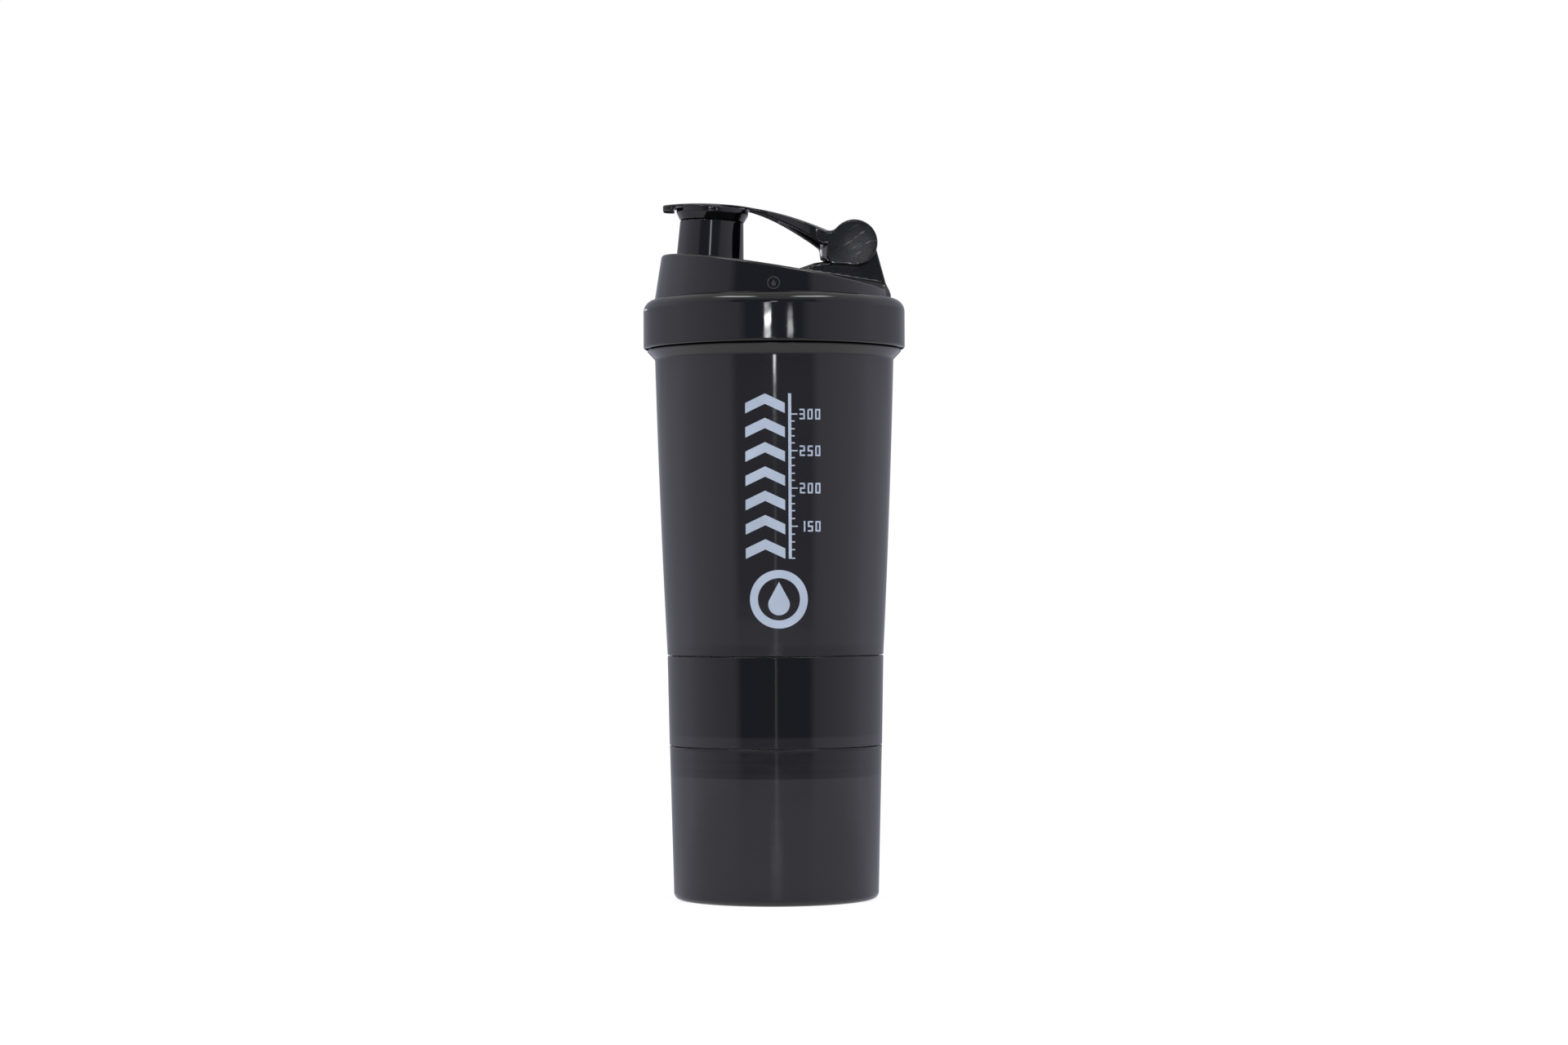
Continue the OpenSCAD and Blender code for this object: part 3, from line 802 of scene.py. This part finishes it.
def clouded(nodes, where, tone):
    """A tone with slightly darker patches."""
    darker = tuple(c * 0.8 for c in tone)
    return nodes.ramp(nodes.noise(where, 40.0), [(0.35, darker), (0.65, tone)])


def scuffs(nodes, where):
    """How near a point is to the hinge, and how worn it is there: patches of specks and fine scratches."""
    east, _, up = nodes.add("ShaderNodeSeparateXYZ", {"Vector": where}).outputs
    across = nodes.math("POWER", nodes.math("SUBTRACT", east, (HINGE_X + 1.5) * MM), 2.0)
    along = nodes.math("POWER", nodes.math("SUBTRACT", up, HINGE_Z * MM), 2.0)
    off_axis = nodes.math("SQRT", nodes.math("ADD", across, along))
    near = nodes.fade(off_axis, 1.0 * MM, (CHEEK_R + 1.5) * MM)
    patches = nodes.ramp(nodes.noise(where, 170.0, 2.0), [(0.4, 0.15), (0.6, 1.0)])
    patches = nodes.math("MULTIPLY", patches, near)
    specks = nodes.ramp(nodes.noise(where, 1300.0, 4.0), [(0.5, 0.0), (0.62, 1.0)])
    specks = nodes.math("MULTIPLY", specks, patches)
    tilted = nodes.add("ShaderNodeMapping", {"Vector": where, "Rotation": (0, 0.5, 0)}).outputs[0]
    lines = nodes.ramp(nodes.noise(tilted, 700.0, 5.0, (0.22, 1, 2.4)), [(0.63, 0.0), (0.66, 1.0)])
    lines = nodes.math("MULTIPLY", lines, patches)
    worn = nodes.math("ADD", nodes.math("MULTIPLY", near, 0.001), nodes.math("MULTIPLY", specks, 0.016))
    return near, nodes.math("ADD", worn, nodes.math("MULTIPLY", lines, 0.2))


def plastic(name, tone, rough, peel=0.008, grain=0.0, bands=None, scuffed=False):
    """A moulded plastic or rubber.

    tone is the colour, rough the lowest and highest roughness, peel the strength of the broad waviness and
    grain that of the fine texture. bands are (height in mm, grey level) pairs that set the tone by height.
    scuffed adds worn, scratched faces round the hinge.
    """
    made = bpy.data.materials.new(name)
    made.use_nodes = True
    nodes = Nodes(made.node_tree)
    where = nodes.add("ShaderNodeTexCoord").outputs["Object"]
    cloud = nodes.noise(where, 90.0)
    roughness = nodes.add("ShaderNodeMapRange", {"Value": cloud, 1: 0.3, 2: 0.7, 3: rough[0], 4: rough[1]})
    roughness = roughness.outputs[0]
    color = banded(nodes, where, tone, bands) if bands else clouded(nodes, where, tone)
    normal = nodes.bump(nodes.noise(where, 160.0, 1.0), peel, 0.002)
    if grain:
        normal = nodes.bump(nodes.noise(where, 2600.0, 2.0), grain, 0.0002, normal)
    if scuffed:
        near, worn = scuffs(nodes, where)
        roughness = nodes.math("ADD", roughness, nodes.math("MULTIPLY", near, 0.05))
        color = nodes.mix(1.0, color, worn, "ADD")
    shader = nodes.add("ShaderNodeBsdfPrincipled", {
        "Base Color": color, "Roughness": roughness, "Normal": normal, "IOR": 1.5})
    nodes.output("ShaderNodeOutputMaterial", shader)
    return made


def paint(piece, material):
    """Gives a piece one material."""
    piece.data.materials.clear()
    piece.data.materials.append(material)


# ---------------------------------------------------------------------------------------------------
# Studio


def grey(level):
    """The studio's slightly cool white, at a level."""
    return (level, level * 0.99, level * 1.17)


DARK = (0.235, 0.245, 0.33)

# Colour of the walls at an angle to either side of the camera, in degrees.
WALLS = [(0, DARK), (36, DARK), (44, grey(0.62)), (75, grey(0.74)), (105, grey(0.8)), (125, grey(0.6)),
         (150, grey(0.4)), (180, grey(0.36))]

# Lamps: (azimuth, elevation, half-width, half-height, softness across, softness up, strength).
LAMPS = [
    (-5.4, 4.85, 2.0, 0.35, 1.5, 0.1, 55.0), (-5.4, 4.15, 1.5, 0.05, 1.5, 0.08, 40.0),
    (14.0, 4.7, 1.2, 0.2, 1.3, 0.2, 12.0), (14.0, 4.12, 1.8, 0.05, 1.4, 0.08, 45.0),
    (0.4, 1.0, 0.5, 0.15, 1.2, 1.5, 20.0), (0.6, -4.1, 0.4, 1.0, 1.2, 1.0, 0.7),
    (0.8, -6.7, 1.0, 0.5, 2.0, 0.6, 0.4), (0.8, -7.6, 4.0, 0.2, 5.0, 0.5, 0.5),
    (0.0, 11.5, 1.0, 2.0, 3.0, 3.0, 5.0), (-157.0, 6.0, 3.0, 0.7, 6.0, 0.4, 1.8)]
BOX_ELEVATION = 60.0
BOX_STRENGTH = 7.0


def studio_walls(nodes, turn, height):
    """Colour of the walls and the far table, by azimuth and elevation in degrees."""
    # The dark part is narrower a little above the horizon, and the table hides it below.
    narrowing = nodes.fade(nodes.off(height, 6.0), 3.0, 5.0)
    away = nodes.math("ADD", nodes.math("ABSOLUTE", turn), nodes.math("MULTIPLY", narrowing, 12.0))
    walls = nodes.ramp(nodes.math("DIVIDE", away, 180.0), [(angle / 180, color) for angle, color in WALLS])
    table = nodes.fade(height, -6.4, -5.4)
    walls = nodes.mix(nodes.math("MULTIPLY", table, 0.85), walls, (*grey(0.6), 1))
    # Straight behind and just below the horizon it is dark, as under a table's far edge.
    behind = nodes.math("MULTIPLY", nodes.fade(nodes.math("ABSOLUTE", turn), 176.0, 168.0),
                        nodes.fade(nodes.off(height, -4.5), 4.0, 6.0))
    walls = nodes.mix(behind, walls, (*grey(0.03), 1))
    level = nodes.fade(nodes.math("ABSOLUTE", height), 24.0, 48.0)
    return nodes.mix(level, (0.8, 0.8, 0.8, 1), walls)


def overhead_boxes(nodes, east, north, height):
    """Two soft boxes high in front, to the left and right."""
    boxes = nodes.math("MULTIPLY", nodes.fade(nodes.off(height, BOX_ELEVATION), 3.5, 6.5),
                       nodes.math("SUBTRACT", 1.0, nodes.fade(nodes.math("ABSOLUTE", east), 0.16, 0.3)))
    boxes = nodes.math("MULTIPLY", boxes, nodes.fade(north, -0.2, 0.0))
    return nodes.math("MULTIPLY", boxes, BOX_STRENGTH)


def studio_light():
    """White all round, darker towards the camera and far behind, with two soft boxes overhead and lamps."""
    world = bpy.data.worlds.new("studio")
    bpy.context.scene.world = world
    world.use_nodes = True
    nodes = Nodes(world.node_tree)
    direction = nodes.add("ShaderNodeTexCoord").outputs["Generated"]
    east, north, up = nodes.add("ShaderNodeSeparateXYZ", {"Vector": direction}).outputs
    turn = nodes.math("DEGREES", nodes.math("ARCTAN2", east, nodes.math("MULTIPLY", north, -1.0)))
    height = nodes.math("DEGREES", nodes.math("ARCSINE", up))
    total = studio_walls(nodes, turn, height)
    total = nodes.mix(1.0, total, overhead_boxes(nodes, east, north, height), "ADD")
    for turn_at, height_at, wide, tall, soft, fading, strength in LAMPS:
        across = nodes.fade(nodes.off(turn, turn_at), wide, wide + soft)
        upward = nodes.fade(nodes.off(height, height_at), tall, tall + fading)
        lamp = nodes.math("MULTIPLY", nodes.math("MULTIPLY", across, upward), strength)
        total = nodes.mix(1.0, total, lamp, "ADD")
    seen = nodes.add("ShaderNodeLightPath").outputs["Is Camera Ray"]
    shown = nodes.mix(seen, total, (1, 1, 1, 1))
    light = nodes.add("ShaderNodeBackground", {"Color": shown, "Strength": 1.0})
    nodes.output("ShaderNodeOutputWorld", light)


FLOOR_REACH = 4000


def floor():
    """A plain white floor, with a faint contact shadow."""
    corners = [(x * FLOOR_REACH, y * FLOOR_REACH, 0) for x, y in ((-1, -1), (1, -1), (1, 1), (-1, 1))]
    made = new_object("floor", corners, [[0, 1, 2, 3]])
    material = bpy.data.materials.new("floor")
    material.use_nodes = True
    nodes = Nodes(material.node_tree)
    shader = nodes.add("ShaderNodeBsdfPrincipled", {
        "Base Color": (0.22, 0.22, 0.22, 1), "Roughness": 1.0, "Specular IOR Level": 0.0,
        "Emission Color": (1, 1, 1, 1), "Emission Strength": 0.86})
    nodes.output("ShaderNodeOutputMaterial", shader)
    paint(made, material)
    made.visible_glossy = False


CAMERA_AT = (0.003, -1.1636, 0.1045)
CAMERA_LENS = 80.625
CAMERA_PITCH = math.radians(0.973)
CAMERA_ROLL = math.radians(-0.25)


def camera():
    """Camera in front, a little below the bottle's middle, looking slightly up."""
    data = bpy.data.cameras.new("camera")
    data.sensor_width = 36
    data.lens = CAMERA_LENS
    data.clip_end = 20
    made = bpy.data.objects.new("camera", data)
    bpy.context.scene.collection.objects.link(made)
    ahead = Vector((0, math.cos(CAMERA_PITCH), math.sin(CAMERA_PITCH)))
    aim = ahead.to_track_quat("-Z", "Y").to_matrix().to_4x4()
    roll = Matrix.Rotation(CAMERA_ROLL, 4, "Z")
    made.matrix_world = Matrix.Translation(CAMERA_AT) @ aim @ roll
    bpy.context.scene.camera = made


# ---------------------------------------------------------------------------------------------------
# Assembly

# The smoke-black plastic lets some light through, and that is painted into its opaque tone by height: painted
# light where the wall has only the hollow behind it, painted shade at floors and where a boss, a thread or
# the pill tray sits behind the wall.
BOSS_FOOT = LOWER_SEAM - BOSS_H
SMOKE = (1.0, 0.97, 1.08)
SMOKE_ROUGH = (0.045, 0.085)
# Painted shade: dark lines where the boss's thread would shade the lower compartment's wall from behind.
THREAD_SHADOWS = [(z, level) for turn in (0, 1) for z, level in (
    (BOSS_FOOT + 1.5 + turn * BOSS_LEAD, 0.003), (BOSS_FOOT + 2.1 + turn * BOSS_LEAD, 0.0003),
    (BOSS_FOOT + 2.7 + turn * BOSS_LEAD, 0.003))]
# Painted light through the lower compartment's wall, darker below its floor, and painted shade where the
# middle compartment's boss sits behind it.
smoke_lower = plastic("smoke_lower", SMOKE, SMOKE_ROUGH, bands=[
    (0, 0.013), (7.2, 0.0165), (BOSS_FOOT - 0.5, 0.0165), (BOSS_FOOT, 0.003), *THREAD_SHADOWS,
    (LOWER_SEAM, 0.003)])
# Painted shade over most of the middle compartment, where the pill tray sits behind its wall, with painted
# light in a strip just above the lower seam.
smoke_middle = plastic("smoke_middle", SMOKE, SMOKE_ROUGH, bands=[
    (LOWER_SEAM, 0.0105), (LOWER_SEAM + 3, 0.0105), (LOWER_SEAM + 4, 0.0012), (UPPER_SEAM, 0.0012)])
# Painted shade low on the cup, at its floor, and painted light through its wall above.
smoke_cup = plastic("smoke_cup", SMOKE, SMOKE_ROUGH, bands=[
    (UPPER_SEAM, 0.007), (UPPER_SEAM + 2.5, 0.007), (UPPER_SEAM + 4, 0.0115), (COLLAR_Z, 0.0105)])
BLACK = (0.003, 0.003, 0.0035)
black_gloss = plastic("black_gloss", BLACK, (0.04, 0.08), peel=0.01)
hinge_gloss = plastic("hinge_gloss", BLACK, (0.04, 0.07), peel=0.003, scuffed=True)
satin = plastic("inner_satin", (0.014, 0.014, 0.015), (0.3, 0.42), grain=0.15)
silicone = plastic("seal_silicone", (0.3, 0.3, 0.31), (0.45, 0.6), grain=0.1)
raised = plastic("raised_mark", (0.035, 0.035, 0.038), (0.2, 0.3))
ink = plastic("print_ink", (0.47, 0.55, 0.67), (0.35, 0.5), grain=0.1)

# (Piece, body it rides, CAD node it replaces, slot, material).
MOULDED = [
    (lower_compartment(), "lower_compartment", "lower_compartment", "smoke_body", smoke_lower),
    (middle_compartment(), "middle_compartment", "middle_compartment", "smoke_body", smoke_middle),
    (shaker_cup(), "shaker_cup", "shaker_cup", "smoke_body", smoke_cup),
    (lid_collar(), "lid", "lid", "black_gloss", black_gloss),
    (lid_dome(), "lid", "lid", "black_gloss", black_gloss),
    (flip_cap(), "flip_cap", "flip_cap", "black_gloss", hinge_gloss),
]
for piece, body, node, slot, material in MOULDED:
    paint(piece, material)
    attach(piece, body)
    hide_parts(node)

for piece in print_pieces():
    paint(piece, ink)
    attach(piece, "shaker_cup")

mark = lid_mark()
paint(mark, raised)
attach(mark, "lid")

KEPT = {"pill_tray": satin, "strainer": satin, "hinge_pin": satin, "lower_seal": silicone,
        "upper_seal": silicone, "lid_seal": silicone, "spout_seal": silicone}
for node, material in KEPT.items():
    paint(frame["nodes"][node], material)

studio_light()
floor()
camera()
bpy.context.scene.view_settings.view_transform = "Standard"
